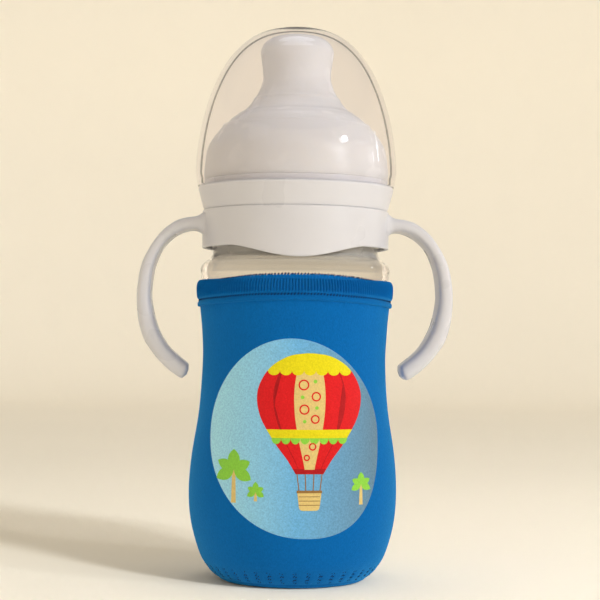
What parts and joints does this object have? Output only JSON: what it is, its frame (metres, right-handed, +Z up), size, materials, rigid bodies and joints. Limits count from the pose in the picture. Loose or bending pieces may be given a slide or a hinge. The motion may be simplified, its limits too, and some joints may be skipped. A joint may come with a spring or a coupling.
{
  "type": "baby bottle",
  "caption": "Wide-neck glass baby bottle with soft teat, screw collar, clear travel cap, carrying handles and a padded fabric sleeve.",
  "frame": {"origin": "centre of the sleeve's flat underside, where the bottle stands", "axes": "+Z up along the bottle, the sleeve's print faces -Y, the handles stand out along +X and -X"},
  "size_m": [0.1032, 0.0694, 0.1815],
  "materials": {
    "sleeve_fabric": "matte knitted neoprene, blue",
    "stitch_thread": "matte sewing thread, darker blue",
    "print_fabric": "matte print on the sleeve, light blue",
    "clear_glass": "clear moulded glass",
    "white_plastic": "satin moulded white",
    "teat_silicone": "satin whitish translucent silicone",
    "clear_plastic": "clear glossy moulded cap"
  },
  "bodies": {
    "sleeve": {"sleeve_wall": "sleeve_fabric", "sleeve_base": "sleeve_fabric", "hem_binding": "sleeve_fabric", "hem_stitch": "stitch_thread", "base_stitch": "stitch_thread", "back_seam_stitch": "stitch_thread", "print_patch": "print_fabric"},
    "bottle": {"glass_bottle": "clear_glass"},
    "handles": {"handle_ring": "white_plastic"},
    "teat": {"teat": "teat_silicone"},
    "collar": {"screw_collar": "white_plastic"},
    "cap": {"travel_cap": "clear_plastic"}
  },
  "joints": [
    {"name": "bottle_lift", "type": "slide", "parent": "sleeve", "child": "bottle", "axis": [0, 0, 1], "range_m": [0, 0.105], "deforming": ["sleeve_wall", "hem_binding", "print_patch", "back_seam_stitch"]},
    {"name": "handle_swivel", "type": "hinge", "parent": "bottle", "child": "handles", "pos_m": [0, 0, 0.115], "axis": [0, 0, 1], "continuous": true},
    {"name": "collar_rise", "type": "slide", "parent": "bottle", "child": "teat", "axis": [0, 0, 1], "range_m": [0, 0.0051]},
    {"name": "collar_turn", "type": "hinge", "parent": "teat", "child": "collar", "pos_m": [0, 0, 0.12], "axis": [0, 0, 1], "range_deg": [0, 450]},
    {"name": "cap_lift", "type": "slide", "parent": "collar", "child": "cap", "axis": [0, 0, 1], "range_m": [0, 0.06]}
  ],
  "couplings": [
    {"joint": "collar_rise", "follows": "collar_turn", "m_per_rad": 0.00063662}
  ]
}
